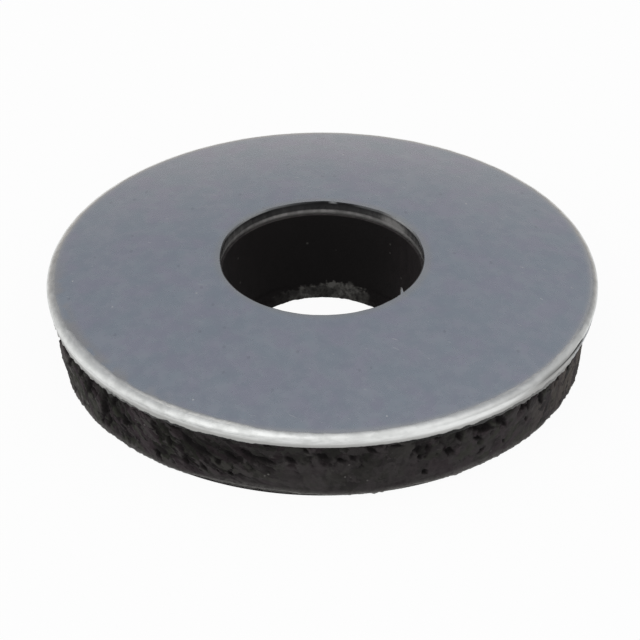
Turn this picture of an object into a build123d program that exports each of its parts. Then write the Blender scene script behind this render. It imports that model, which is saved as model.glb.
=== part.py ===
from build123d import *

import os
from math import asin, atan2, cos, degrees, hypot, pi, radians, sin, tan

# Bonded sealing washer for roofing and cladding screws: a thin steel disc with a ring
# of black EPDM rubber vulcanised to its underside.
#
# The steel and rubber are bonded as flat sheet, punched through together and then
# dished, so the steel's top is a shallow dome, and its edges stand square to the dome.
# Lengths are in millimetres. +Z runs up the screw's axis. The origin is on that axis,
# at the height of the flat rubber face that the washer rests on.

# Steel disc
outer_diameter = 16.0      # across the rim's corner, before the die rounds it
hole_diameter = 5.9        # at the top face; clears a 5.5 mm screw
sheet_thickness = 0.42
dish_rise = 0.73           # how far the edge of the hole stands above the rim
rim_roll_width = 0.24      # how far in from the rim the blanking die draws the top face down
rim_roll_depth = 0.15      # how far down the rim's wall that rounding reaches
rim_roll_sag = 0.03        # how far the rounding's own corner lies below the dome
hole_roll = 0.05           # radius the punch rolls onto the hole's top edge
break_height = 0.14        # torn band at the foot of each punched edge
break_setback = 0.03       # how far that band stands back from the smooth one above it

# Rubber ring
rubber_depth = 2.0         # under the rim
heel_round = 0.10          # rounding of the rubber's outer bottom edge
bore_squeeze = 0.07        # how far the rubber swells into the hole under the steel
throat_diameter = 5.2      # narrowest stretch, at the bottom; it grips the screw
throat_height = 0.14       # straight stretch of the throat
lip_height = 0.28          # slope from the throat up to the bore's wall

# The larger tears in the skirt: where each starts, where it ends and how wide it is. A place
# is how far round (0 at +Y, 0.25 at -X, 0.5 at -Y) and how far down the skirt (0 to 1). A
# tear bites in by half its width.
tears = [
    ((0.014, 0.10), (0.022, 0.42), 0.28),
    ((0.058, 0.15), (0.061, 0.55), 0.24),
    ((0.095, 0.08), (0.104, 0.36), 0.32),
    ((0.137, 0.30), (0.139, 0.62), 0.22),
    ((0.172, 0.12), (0.180, 0.44), 0.30),
    ((0.214, 0.20), (0.216, 0.66), 0.26),
    ((0.252, 0.10), (0.258, 0.40), 0.30),
    ((0.290, 0.28), (0.293, 0.60), 0.24),
    ((0.3325, 0.20), (0.3365, 0.46), 0.30),
    ((0.3520, 0.15), (0.3495, 0.76), 0.28),
    ((0.3700, 0.33), (0.3735, 0.52), 0.20),
    ((0.3945, 0.66), (0.3970, 0.85), 0.22),
    ((0.4150, 0.10), (0.4230, 0.34), 0.40),
    ((0.4215, 0.28), (0.4345, 0.46), 0.30),
    ((0.4265, 0.61), (0.4305, 0.81), 0.24),
    ((0.4415, 0.24), (0.4515, 0.44), 0.26),
    ((0.4590, 0.29), (0.4750, 0.39), 0.20),
    ((0.4790, 0.24), (0.4865, 0.34), 0.18),
    ((0.4970, 0.15), (0.5045, 0.25), 0.20),
    ((0.5155, 0.17), (0.5205, 0.30), 0.18),
    ((0.5550, 0.11), (0.5575, 0.35), 0.28),
    ((0.5730, 0.38), (0.5815, 0.50), 0.22),
    ((0.5890, 0.11), (0.6110, 0.32), 0.34),
    ((0.6275, 0.08), (0.6320, 0.27), 0.26),
    ((0.6435, 0.08), (0.6520, 0.46), 0.26),
    ((0.6780, 0.10), (0.6870, 0.38), 0.22),
    ((0.727, 0.14), (0.730, 0.48), 0.26),
    ((0.771, 0.10), (0.780, 0.36), 0.30),
    ((0.815, 0.22), (0.818, 0.60), 0.22),
    ((0.856, 0.10), (0.866, 0.40), 0.32),
    ((0.899, 0.18), (0.902, 0.58), 0.24),
    ((0.942, 0.12), (0.951, 0.40), 0.30),
    ((0.980, 0.25), (0.982, 0.60), 0.22),
]


# The dome: two arcs about one centre on the axis, a sheet's thickness apart
rim_radius = outer_diameter / 2
hole_radius = hole_diameter / 2
centre_below_rim = (rim_radius**2 - hole_radius**2 - dish_rise**2) / (2 * dish_rise)
dome_radius = hypot(rim_radius, centre_below_rim)
underside_radius = dome_radius - sheet_thickness
break_radius = underside_radius + break_height

rim_angle = degrees(asin(rim_radius / dome_radius))
hole_angle = degrees(asin(hole_radius / dome_radius))
shoulder_angle = rim_angle - degrees(rim_roll_width / dome_radius)
break_angle = degrees(break_setback / underside_radius)

# The lower edge of the steel rim stands rubber_depth above the ground
rim_foot_angle = rim_angle - break_angle
hole_foot_angle = hole_angle + break_angle
dome_centre = rubber_depth - underside_radius * cos(radians(rim_foot_angle))


def dome_point(radius, angle):
    """The point of the section at this radius and angle from the axis, about the dome's centre."""
    return (radius * sin(radians(angle)), dome_centre + radius * cos(radians(angle)))


def dome_arc(radius, inner_angle, outer_angle):
    """An arc about the dome's centre, drawn from the outer angle in to the inner one."""
    return CenterArc((0, dome_centre), radius, 90 - outer_angle, outer_angle - inner_angle)


# Steel: the domed sheet, with a rolled, a smooth sheared and a torn band on both punched edges
with BuildPart() as metal_washer:
    with BuildSketch(Plane.XZ) as steel_section:
        with BuildLine():
            dome_arc(dome_radius, hole_angle, shoulder_angle)
            Bezier(
                dome_point(dome_radius, shoulder_angle),
                dome_point(dome_radius - rim_roll_sag, rim_angle),
                dome_point(dome_radius - rim_roll_depth, rim_angle),
            )
            Polyline(
                dome_point(dome_radius - rim_roll_depth, rim_angle),
                dome_point(break_radius, rim_angle),
                dome_point(underside_radius, rim_foot_angle),
            )
            dome_arc(underside_radius, hole_foot_angle, rim_foot_angle)
            Polyline(
                dome_point(underside_radius, hole_foot_angle),
                dome_point(break_radius, hole_angle),
                dome_point(dome_radius, hole_angle),
            )
        make_face()
        hole_corner = steel_section.vertices().sort_by(Axis.Y)[-1]
        fillet(hole_corner, hole_roll)
    revolve(axis=Axis.Z)

# Rubber: bonded to the dome above and flat below. The outer wall carries on the slope of
# the punched rim. The bore ends in a lip that the punch drags down and inwards.
bore_angle = hole_foot_angle - degrees(bore_squeeze / underside_radius)
bore_top = dome_point(underside_radius, bore_angle)
rim_foot = dome_point(underside_radius, rim_foot_angle)
heel_x = -dome_centre * tan(radians(rim_foot_angle))
throat_radius = throat_diameter / 2
lip_top = throat_height + lip_height
bore_foot_x = (lip_top - dome_centre) * tan(radians(bore_angle))



def tear_cutter(start, end, width):
    """A pyramid on a diamond that lies on the skirt from a tear's start to its end."""
    around = (end[0] - start[0]) * 2 * pi * rim_radius
    down = (end[1] - start[1]) * rubber_depth
    tip = hypot(around, down) / 2
    side = width / 2
    mouth = Plane.YZ * Polygon((0, tip), (side, 0), (0, -tip), (-side, 0))
    pyramid = loft([mouth, Vertex(-side, 0, 0)], ruled=True)

    turn = (start[0] + end[0]) / 2
    height = rubber_depth * (1 - (start[1] + end[1]) / 2)
    skirt_x = (height - dome_centre) * tan(radians(rim_foot_angle))
    on_skirt = Rot(Z=90 + 360 * turn) * Pos(X=skirt_x, Z=height) * Rot(Y=rim_foot_angle)
    return on_skirt * Rot(X=degrees(atan2(around, down))) * pyramid


tear_cutters = [tear_cutter(start, end, width) for start, end, width in tears]

with BuildPart() as rubber_seal:
    with BuildSketch(Plane.XZ) as rubber_section:
        with BuildLine():
            dome_arc(underside_radius, bore_angle, rim_foot_angle)
            Polyline(
                bore_top,
                (bore_foot_x, lip_top),
                (throat_radius, throat_height),
                (throat_radius, 0),
                (heel_x, 0),
                rim_foot,
            )
        make_face()
        heel = rubber_section.vertices().group_by(Axis.Y)[0].sort_by(Axis.X)[-1]
        fillet(heel, heel_round)
    revolve(axis=Axis.Z)
    add(tear_cutters, mode=Mode.SUBTRACT)

os.makedirs("parts", exist_ok=True)
metal_washer.part.label = "metal_washer"
export_step(metal_washer.part, "parts/metal_washer.step")
rubber_seal.part.label = "rubber_seal"
export_step(rubber_seal.part, "parts/rubber_seal.step")
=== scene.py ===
# %% [markdown]
# # A bonded sealing washer
#
# A roofing screw carries a washer like this one under its head. It is a thin disc of zinc
# plated steel with a ring of black rubber bonded underneath. Both are stamped out of one
# bonded sheet in a single blow, and that blow leaves all the character that the washer has:
# a dished top, a rolled and sheared steel edge, and rubber that has been torn, not cut.
#
# The CAD frame gives the washer at its real size. This script keeps that size and dresses
# it: the smooth solids are replaced by finely divided ones that carry the marks of the press.

# %% Load the frame
import math
from types import SimpleNamespace

import bpy
from mathutils import Matrix, Vector


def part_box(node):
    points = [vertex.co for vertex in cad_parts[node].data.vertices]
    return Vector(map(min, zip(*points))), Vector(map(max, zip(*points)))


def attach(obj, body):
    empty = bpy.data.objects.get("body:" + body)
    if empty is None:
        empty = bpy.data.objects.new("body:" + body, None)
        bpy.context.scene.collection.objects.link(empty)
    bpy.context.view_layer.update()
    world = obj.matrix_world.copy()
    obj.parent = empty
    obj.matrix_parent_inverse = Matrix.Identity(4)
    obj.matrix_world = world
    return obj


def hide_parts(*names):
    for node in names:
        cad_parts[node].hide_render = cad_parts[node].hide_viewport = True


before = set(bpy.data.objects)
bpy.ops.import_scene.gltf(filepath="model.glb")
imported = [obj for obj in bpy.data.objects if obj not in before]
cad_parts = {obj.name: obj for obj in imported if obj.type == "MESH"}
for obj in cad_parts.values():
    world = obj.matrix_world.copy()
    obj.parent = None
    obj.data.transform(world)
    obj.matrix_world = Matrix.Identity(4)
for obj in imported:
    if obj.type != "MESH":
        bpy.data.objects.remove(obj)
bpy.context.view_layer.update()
print("CAD pieces:", sorted(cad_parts))

# %% [markdown]
# ## The sizes that the marks depend on
#
# Blender works in metres here, so a millimetre gets a name. The section of the washer is
# simple to state: the sheet was punched flat and dished afterwards, so the steel lies
# between two arcs about one centre far below, and every punched wall points at that centre.
# Stating it again by the same few sizes is better than reading points off the CAD mesh,
# because the new section can then be divided as finely as the marks need.

# %% The washer's sizes
MM = 0.001

OUTER_DIAMETER = 16.0 * MM
HOLE_DIAMETER = 5.9 * MM
SHEET_THICKNESS = 0.42 * MM
DISH_RISE = 0.73 * MM
RIM_ROLL_WIDTH = 0.24 * MM
RIM_ROLL_DEPTH = 0.15 * MM
RIM_ROLL_SAG = 0.03 * MM
HOLE_ROLL = 0.05 * MM
BREAK_HEIGHT = 0.14 * MM
BREAK_SETBACK = 0.03 * MM
RUBBER_DEPTH = 2.0 * MM
HEEL_ROUND = 0.10 * MM
BORE_SQUEEZE = 0.07 * MM
THROAT_DIAMETER = 5.2 * MM
THROAT_HEIGHT = 0.14 * MM
LIP_HEIGHT = 0.28 * MM
HOLE_OFF_CENTRE = -0.022 * MM
THROAT_OFF_CENTRE = 0.02 * MM
SKIRT_OFF_CENTRE = -0.035 * MM

rim_radius = OUTER_DIAMETER / 2
hole_radius = HOLE_DIAMETER / 2
centre_below_rim = (rim_radius**2 - hole_radius**2 - DISH_RISE**2) / (2 * DISH_RISE)
dome_radius = math.hypot(rim_radius, centre_below_rim)
underside_radius = dome_radius - SHEET_THICKNESS
break_radius = underside_radius + BREAK_HEIGHT
rim_angle = math.asin(rim_radius / dome_radius)
hole_angle = math.asin(hole_radius / dome_radius)
rim_foot_angle = rim_angle - BREAK_SETBACK / underside_radius
hole_foot_angle = hole_angle + BREAK_SETBACK / underside_radius
bore_angle = hole_foot_angle - BORE_SQUEEZE / underside_radius
dome_centre = RUBBER_DEPTH - underside_radius * math.cos(rim_foot_angle)


def on_dome(radius, angle):
    """A point (distance from the axis, height), at a radius and angle about the dome's centre."""
    return (radius * math.sin(angle), dome_centre + radius * math.cos(angle))


_, steel_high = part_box("metal_washer")
hole_edge = on_dome(dome_radius, hole_angle)
print(f"steel's top: section {hole_edge[1] / MM:.3f} mm, CAD {steel_high.z / MM:.3f} mm")

# %% [markdown]
# ## The camera
#
# The view is from well above, through a long lens, from far enough away that the ellipses
# of the rim stay almost the same width from front to back. A camera could be aimed with a
# Track To constraint, but a matrix built from the elevation, the aim and a hair of roll says
# the same thing in one place and leaves nothing live in the scene.

# %% Camera
CAMERA_ELEVATION = math.radians(33.71)
CAMERA_DISTANCE = 160 * MM
SENSOR_WIDTH = 36.0
IMAGE_WIDTH = 640
FOCAL_PIXELS = 5541
AIM_BELOW_RIM = math.radians(0.4337)
AIM_LEFT_OF_AXIS = math.radians(0.0331)
CAMERA_ROLL = 0.0025

rim_centre = Vector((0, 0, on_dome(dome_radius, rim_angle)[1]))
camera_data = bpy.data.cameras.new("camera")
camera_data.sensor_width = SENSOR_WIDTH
camera_data.lens = FOCAL_PIXELS * SENSOR_WIDTH / IMAGE_WIDTH
camera_data.clip_start = 10 * MM
camera_data.clip_end = 10
camera = bpy.data.objects.new("camera", camera_data)
bpy.context.scene.collection.objects.link(camera)

towards_camera = Vector((0, -math.cos(CAMERA_ELEVATION), math.sin(CAMERA_ELEVATION)))
aim = (
    Matrix.Rotation(AIM_LEFT_OF_AXIS, 4, "Z")
    @ Matrix.Rotation(math.pi / 2 - CAMERA_ELEVATION - AIM_BELOW_RIM, 4, "X")
    @ Matrix.Rotation(CAMERA_ROLL, 4, "Z")
)
camera.matrix_world = Matrix.Translation(rim_centre + towards_camera * CAMERA_DISTANCE) @ aim
bpy.context.scene.camera = camera
print(f"lens {camera_data.lens:.0f} mm at {CAMERA_DISTANCE / MM:.0f} mm")

# %% [markdown]
# ## Helpers for node trees
#
# Finishes and Geometry Nodes are both node trees. Wiring them by hand takes three lines for
# every sum, so a small class stands for a socket and adds the Math node when it meets a plus
# or a times. A formula then reads as a formula, and the tree that it leaves in the file is an
# ordinary one that can be opened and changed.


# %% Sums of sockets
class Field:
    """A socket of a node tree. Sums written with it add Math nodes to the tree."""

    def __init__(self, tree, socket):
        self.tree = tree
        self.socket = socket

    def math(self, operation, *others, clamp=False):
        node = self.tree.nodes.new("ShaderNodeMath")
        node.operation = operation
        node.use_clamp = clamp
        for slot, value in enumerate((self, *others)):
            plug(self.tree, node.inputs[slot], value)
        return Field(self.tree, node.outputs[0])

    def __add__(self, other):
        return self.math("ADD", other)

    def __sub__(self, other):
        return self.math("SUBTRACT", other)

    def __mul__(self, other):
        return self.math("MULTIPLY", other)

    def __truediv__(self, other):
        return self.math("DIVIDE", other)

    def __neg__(self):
        return self.math("MULTIPLY", -1.0)

    def __rsub__(self, other):
        return -self + other

    def ramp(self, start, end, low=0.0, high=1.0):
        """low before start, high after end, with a smooth step between them."""
        node = self.tree.nodes.new("ShaderNodeMapRange")
        node.interpolation_type = "SMOOTHSTEP"
        for slot, value in enumerate((self, start, end, low, high)):
            plug(self.tree, node.inputs[slot], value)
        return Field(self.tree, node.outputs[0])


def plug(tree, socket, value):
    """Links a Field into a socket, or sets the socket to a plain value."""
    if isinstance(value, Field):
        tree.links.new(value.socket, socket)
    else:
        socket.default_value = value


def add_node(tree, kind, inputs=None, output=0, **settings):
    """Adds one node, with its settings and inputs, and returns one of its outputs."""
    node = tree.nodes.new(kind)
    for name, value in settings.items():
        setattr(node, name, value)
    for name, value in (inputs or {}).items():
        plug(tree, node.inputs[name], value)
    return Field(tree, node.outputs[output])


# %% Vectors and noise
def stretch(tree, position, factors):
    """The position with each axis scaled by its own factor."""
    return add_node(
        tree, "ShaderNodeVectorMath", {0: position, 1: factors}, operation="MULTIPLY"
    )


def vector_sum(tree, operation, first, second, output=0):
    """A Vector Math node with two inputs. Output 1 is the one that holds a plain number."""
    inputs = {0: first, 1: second}
    return add_node(tree, "ShaderNodeVectorMath", inputs, output, operation=operation)


def noise(tree, position, size, seed=0.0, detail=3.0, roughness=0.5, distortion=0.0):
    """Smooth random values about 0.5 whose features are about `size` metres across."""
    settings = {
        "Vector": position,
        "W": seed,
        "Scale": 1 / size,
        "Detail": detail,
        "Roughness": roughness,
        "Distortion": distortion,
    }
    return add_node(tree, "ShaderNodeTexNoise", settings, noise_dimensions="4D")


def components(tree, vector):
    """The x, y and z of a vector."""
    node = tree.nodes.new("ShaderNodeSeparateXYZ")
    plug(tree, node.inputs[0], vector)
    return [Field(tree, socket) for socket in node.outputs]


# %% Where a point lies
def turn_about_axis(tree, position):
    """How far round a point lies: 0.25 is -X, 0.5 is -Y, 0.75 is +X, and 0 and 1 are +Y."""
    x, y, _ = components(tree, position)
    return x.math("ARCTAN2", -y) / (2 * math.pi) + 0.5


def distance_from_axis(tree, position):
    """How far a point lies from the screw's axis."""
    flat = stretch(tree, position, (1, 1, 0))
    return add_node(tree, "ShaderNodeVectorMath", {0: flat}, output=1, operation="LENGTH")


def depth_in_steel(tree, position):
    """How far a point lies below the dome of the steel's top face."""
    centre = (0, 0, dome_centre)
    return dome_radius - vector_sum(tree, "DISTANCE", position, centre, 1)


# %% Curves and stripes
def curve(tree, value, points):
    """A smooth curve through a few chosen points (value, result). The values run from 0 to 1."""
    node = tree.nodes.new("ShaderNodeFloatCurve")
    plug(tree, node.inputs["Value"], value)
    line = node.mapping.curves[0].points
    line[0].location = points[0]
    line[1].location = points[-1]
    for point in points[1:-1]:
        line.new(*point)
    node.mapping.update()
    return Field(tree, node.outputs[0])


def stripe(value, middle, width):
    """1 about the middle of a stripe of values, falling to 0 at half its width to either side."""
    away = (value - middle).math("ABSOLUTE")
    return away.ramp(width * 0.15, width / 2, 1.0, 0.0)


def along_rim(tree, turn, depth, drawn_out):
    """Coordinates that run round the rim, with noises in them drawn out by a factor that way."""
    around = turn * (2 * math.pi * rim_radius / drawn_out)
    return add_node(tree, "ShaderNodeCombineXYZ", {"X": around, "Y": depth})


# %% Patterns
SLANT_RANGE = 3.0


def slanted(tree, position, turn, height, slants):
    """The position, turned further the higher it lies. It slants what is drawn out along Z."""
    angle = (curve(tree, turn, slants) - 0.5) * SLANT_RANGE * height / rim_radius
    settings = {"Vector": position, "Angle": angle}
    return add_node(tree, "ShaderNodeVectorRotate", settings, rotation_type="Z_AXIS")


def facets(tree, position, size, ragged_by):
    """Two random values from 0 to 1 for each of many flat patches about `size` across."""
    shaken = vector_sum(tree, "ADD", position, stretch(tree, ragged_by, (size, size, size)))
    cells = add_node(tree, "ShaderNodeTexVoronoi", {"Vector": shaken, "Scale": 1 / size})
    return components(tree, Field(tree, cells.socket.node.outputs["Color"]))[:2]


def scattered(tree, position, spacing, size, share, dimensions="3D"):
    """Dots about `size` across, on a share of the points of a loose lattice."""
    settings = {"Vector": position, "Scale": 1 / spacing}
    cells = "ShaderNodeTexVoronoi"
    distance = add_node(tree, cells, settings, 0, voronoi_dimensions=dimensions)
    colour = Field(tree, distance.socket.node.outputs["Color"])
    lot = components(tree, colour)[0]
    edge = size / spacing / 2
    return distance.ramp(edge * 0.6, edge, 1.0, 0.0) * lot.math("GREATER_THAN", 1 - share)


def scratches(tree, position, angle, length, width):
    """Sparse thin lines that all run one way: a noise drawn out along it and cut off high."""
    settings = {"Vector": position, "Angle": angle}
    turned = add_node(tree, "ShaderNodeVectorRotate", settings, rotation_type="Z_AXIS")
    drawn_out = stretch(tree, turned, (width / length, 1, 1))
    return noise(tree, drawn_out, width, 1.0, detail=1).ramp(0.72, 0.79)


# %% [markdown]
# ## A section swept round an axis
#
# Both pieces are a section turned about the screw's axis. Blender's Spin tool or a Screw
# modifier would turn it too, but here the turning is the first half of a rule: turn the
# section, then wear the surface. Geometry Nodes hold the whole rule in one tree. The section
# goes in as a loop of edges, Curve to Mesh sweeps it round a circle, and what follows moves
# the points about. Each stretch of the section carries a name as an attribute, such as
# `rim_land`, so that wear and finish can find it afterwards.


# %% Points of a section
def eased(steps):
    """Fractions from 0 to just under 1, closer together near both ends, for crisp corners."""
    return [(1 - math.cos(math.pi * i / steps)) / 2 for i in range(steps)]


def evenly(steps):
    """Fractions from 0 to just under 1, evenly spread."""
    return [i / steps for i in range(steps)]


def straight(start, end, steps, spread=eased):
    """Points from start up to, but without, end."""
    return [
        (start[0] + (end[0] - start[0]) * t, start[1] + (end[1] - start[1]) * t)
        for t in spread(steps)
    ]


def dome_arc(radius, start, end, steps):
    """Points about the dome's centre, from one angle up to, but without, the other."""
    return [on_dome(radius, start + (end - start) * t) for t in eased(steps)]


def rounding(centre, radius, start, end, steps):
    """Points of a rounded corner, whose angles are measured from straight up."""
    angles = [start + (end - start) * i / steps for i in range(steps)]
    return [(centre[0] + radius * math.sin(a), centre[1] + radius * math.cos(a)) for a in angles]


# %% A section as a loop of edges
def section_object(name, bands):
    """A closed loop of edges, clockwise, with one float attribute for each band of points."""
    points = [point for band in bands.values() for point in band]
    count = len(points)
    # Curve to Mesh lays a section's x outwards and its y downwards
    mesh = bpy.data.meshes.new(name)
    loop = [(i, (i + 1) % count) for i in range(count)]
    mesh.from_pydata([(x, -z, 0) for x, z in points], loop, [])
    first = 0
    for band, members in bands.items():
        values = [0.0] * count
        values[first : first + len(members)] = [1.0] * len(members)
        mesh.attributes.new(band, "FLOAT", "POINT").data.foreach_set("value", values)
        first += len(members)
    piece = bpy.data.objects.new(name, mesh)
    bpy.context.scene.collection.objects.link(piece)
    print(f"{name}: {count} points in {len(bands)} bands")
    return piece


# %% Trees of Geometry Nodes
SOCKET_TYPES = {
    float: "NodeSocketFloat",
    int: "NodeSocketInt",
    bpy.types.Material: "NodeSocketMaterial",
    bpy.types.Object: "NodeSocketObject",
}


def new_rule(name, inputs):
    """A Geometry Nodes tree with named inputs. Returns it, its geometry and its inputs."""
    tree = bpy.data.node_groups.new(name, "GeometryNodeTree")
    tree.interface.new_socket("Geometry", in_out="INPUT", socket_type="NodeSocketGeometry")
    tree.interface.new_socket("Geometry", in_out="OUTPUT", socket_type="NodeSocketGeometry")
    for label, value in inputs.items():
        tree.interface.new_socket(label, in_out="INPUT", socket_type=SOCKET_TYPES[type(value)])
    entry = tree.nodes.new("NodeGroupInput")
    fields = {label: Field(tree, entry.outputs[label]) for label in inputs}
    return tree, Field(tree, entry.outputs["Geometry"]), fields


def finish_rule(tree, geometry, material):
    """Ends a tree: smooth shading, real geometry in place of instances, and one material."""
    smooth = add_node(tree, "GeometryNodeSetShadeSmooth", {"Geometry": geometry})
    real = add_node(tree, "GeometryNodeRealizeInstances", {"Geometry": smooth})
    painting = {"Geometry": real, "Material": material}
    painted = add_node(tree, "GeometryNodeSetMaterial", painting)
    leave = tree.nodes.new("NodeGroupOutput")
    tree.links.new(painted.socket, leave.inputs["Geometry"])


def apply_rule(piece, tree, inputs):
    """Runs a tree on a piece, keeps the result as its plain mesh and removes the modifier."""
    modifier = piece.modifiers.new(tree.name, "NODES")
    modifier.node_group = tree
    for socket in tree.interface.items_tree:
        if socket.name in inputs:
            modifier[socket.identifier] = inputs[socket.name]
    evaluated = piece.evaluated_get(bpy.context.evaluated_depsgraph_get())
    mesh = bpy.data.meshes.new_from_object(evaluated)
    piece.modifiers.remove(modifier)
    piece.data = mesh
    mesh.name = piece.name
    triangles = sum(len(face.vertices) - 2 for face in mesh.polygons)
    print(f"{piece.name}: {triangles} triangles")
    return piece


# %% Sweep a section
def swept(tree, section, radius, steps):
    """The section swept round a circle about the axis. The circle's radius is taken off first."""
    inwards = add_node(tree, "ShaderNodeCombineXYZ", {"X": radius * -1.0})
    shifted = add_node(tree, "GeometryNodeTransform", {"Geometry": section, "Translation": inwards})
    profile = add_node(tree, "GeometryNodeMeshToCurve", {"Mesh": shifted})
    ring = {"Resolution": steps, "Radius": radius}
    circle = add_node(tree, "GeometryNodeCurvePrimitiveCircle", ring)
    upright = add_node(tree, "GeometryNodeSetCurveNormal", {"Curve": circle}, mode="Z_UP")
    sweep = {"Curve": upright, "Profile Curve": profile}
    return add_node(tree, "GeometryNodeCurveToMesh", sweep)


# %% Moves of a rule's points
def band_mask(tree, band):
    """1 on the points of a band of the section, 0 elsewhere."""
    return add_node(tree, "GeometryNodeInputNamedAttribute", {"Name": band}, data_type="FLOAT")


def moved(tree, geometry, x=0.0, y=0.0, z=0.0):
    """Moves every point by a distance along each axis."""
    offset = add_node(tree, "ShaderNodeCombineXYZ", {"X": x, "Y": y, "Z": z})
    return add_node(tree, "GeometryNodeSetPosition", {"Geometry": geometry, "Offset": offset})


def moved_inwards(tree, geometry, position, distance):
    """Moves every point level towards the upright axis."""
    x, y, _ = components(tree, position)
    away = distance_from_axis(tree, position)
    return moved(tree, geometry, x / away * -distance, y / away * -distance)


def moved_along_normal(tree, geometry, distance):
    """Moves every point along its normal."""
    normal = add_node(tree, "GeometryNodeInputNormal")
    scaling = {0: normal, "Scale": distance}
    offset = add_node(tree, "ShaderNodeVectorMath", scaling, operation="SCALE")
    return add_node(tree, "GeometryNodeSetPosition", {"Geometry": geometry, "Offset": offset})


def keep_as(tree, geometry, name, value):
    """Stores a field on the points under a name that a material can read."""
    return add_node(
        tree,
        "GeometryNodeStoreNamedAttribute",
        {"Geometry": geometry, "Name": name, "Value": value},
        data_type="FLOAT",
        domain="POINT",
    )


# %% Off centre
def drift(tree, geometry, position, rubber=False):
    """Sets the hole, and the rubber's skirt, slightly off the rim's centre."""
    outwards = distance_from_axis(tree, position).ramp(hole_radius, rim_radius)
    hole = HOLE_OFF_CENTRE
    skirt = 0.0
    if rubber:
        _, _, z = components(tree, position)
        hole = z.ramp(0.0, RUBBER_DEPTH, THROAT_OFF_CENTRE, HOLE_OFF_CENTRE)
        skirt = z.ramp(RUBBER_DEPTH, RUBBER_DEPTH - 0.3 * MM, 0.0, SKIRT_OFF_CENTRE)
    return moved(tree, geometry, x=(1.0 - outwards) * hole + outwards * skirt)


# %% [markdown]
# ## The steel's section
#
# The press leaves four different surfaces round each edge of the steel. The sheet is dragged
# into a soft roll first. The tool then shears a smooth, bright land, and when the rest lets
# go it tears, which leaves a dull, slightly stepped-back break with a burr at its foot. They
# are only a few tenths of a millimetre high, but they catch the light as separate lines.


# %% Section of the steel disc
def rolled_edge(edge_angle, side, width, depth, sag, fractions):
    """Points of a rolled edge, from the face at fraction 0 to the wall at 1. The rim's side is 1,
    the hole's is -1. Each point is weighed between the roll's shoulder, its corner and its foot."""
    controls = (
        (dome_radius, edge_angle - side * width / dome_radius),
        (dome_radius - sag, edge_angle),
        (dome_radius - depth, edge_angle),
    )
    points = []
    for t in fractions:
        weights = ((1 - t) ** 2, 2 * t * (1 - t), t**2)
        radius = sum(weight * control[0] for weight, control in zip(weights, controls))
        angle = sum(weight * control[1] for weight, control in zip(weights, controls))
        points.append(on_dome(radius, angle))
    return points


from_hole = [1 - t for t in evenly(5)]
steel_section = section_object("metal_washer_detail", {
    "hole_roll": rolled_edge(hole_angle, -1, HOLE_ROLL, HOLE_ROLL, 0, from_hole),
    "face": dome_arc(
        dome_radius,
        hole_angle + HOLE_ROLL / dome_radius,
        rim_angle - RIM_ROLL_WIDTH / dome_radius,
        24,
    ),
    "rim_roll": rolled_edge(
        rim_angle, 1, RIM_ROLL_WIDTH, RIM_ROLL_DEPTH, RIM_ROLL_SAG, evenly(13)
    ),
    "rim_land": straight(
        on_dome(dome_radius - RIM_ROLL_DEPTH, rim_angle), on_dome(break_radius, rim_angle), 9
    ),
    "rim_break": straight(
        on_dome(break_radius, rim_angle), on_dome(underside_radius, rim_foot_angle), 13
    ),
    "underside": dome_arc(underside_radius, rim_foot_angle, hole_foot_angle, 6),
    "hole_break": straight(
        on_dome(underside_radius, hole_foot_angle), on_dome(break_radius, hole_angle), 10
    ),
    "hole_land": straight(
        on_dome(break_radius, hole_angle), on_dome(dome_radius - HOLE_ROLL, hole_angle), 8
    ),
})

# %% [markdown]
# ## Wear on the steel
#
# The marks on the steel are too small to sculpt and follow simple rules, so the tree adds
# them: a roll that is wider in some places than in others and starts with a bevel in some,
# ripples along it, a quarter where a worn die has scored a line into the sheared wall, and a
# rough break with a ragged, drooping foot. The hole is a few hundredths of a millimetre out
# of round, and at one place a hair of burr leans out over it.
#
# Each of them shows in some parts of the rim and not in others. That could be painted as
# vertex weights. A curve over the way round is easier to change and to compare: it runs from
# 0 at the back, over 0.25 at the left, 0.5 at the front and 0.75 at the right, to the back
# again at 1. The curves say where a mark shows, and the rule's inputs say how large it is.

# %% Where the steel is marked
ROLL_SPREAD = (
    (0, 0.3), (0.12, 0.4), (0.3, 0.6), (0.333, 0.85), (0.36, 0.8), (0.39, 0.8), (0.417, 0.85),
    (0.46, 0.5), (0.5, 0.28), (0.54, 0.35), (0.583, 0.45), (0.62, 0.5), (0.68, 0.5),
    (0.708, 0.35), (0.85, 0.4), (1, 0.3),
)
ROLL_BEVEL = (
    (0, 0), (0.2, 0.1), (0.3, 0.6), (0.333, 0.9), (0.36, 0.85), (0.39, 0.9), (0.417, 1),
    (0.46, 0.5), (0.5, 0.1), (0.54, 0.13), (0.583, 0.13), (0.63, 0.5), (0.667, 0.9), (0.69, 0.5),
    (0.708, 0.2), (0.85, 0.1), (1, 0),
)
SCORED_QUARTER = (
    (0, 0.1), (0.15, 0.1), (0.3, 0.0), (0.6, 0.0), (0.62, 0.2), (0.64, 0.7), (0.66, 1),
    (0.68, 0.9), (0.695, 0.3), (0.708, 0.05), (0.73, 0.2), (0.85, 0.3), (1, 0.1),
)
FOOT_DROOP = (
    (0, 0.15), (0.25, 0.2), (0.333, 0.55), (0.417, 0.6), (0.46, 0.3), (0.5, 0.0), (0.55, 0.45),
    (0.583, 0.9), (0.62, 0.9), (0.66, 1), (0.69, 1), (0.72, 0.2), (1, 0.15),
)
RAGGED_FOOT = (
    (0, 0.6), (0.3, 1), (0.38, 0.9), (0.43, 0.6), (0.46, 0.4), (0.49, 0.1), (0.53, 0.2),
    (0.58, 0.5), (0.7, 0.8), (1, 0.6),
)
SHOULDER_WOBBLE = (
    (0, 0.2), (0.2, 0.4), (0.27, 0.6), (0.33, 0.6), (0.38, 0.5), (0.5, 0.3), (0.65, 0.6),
    (1, 0.2),
)
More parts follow.
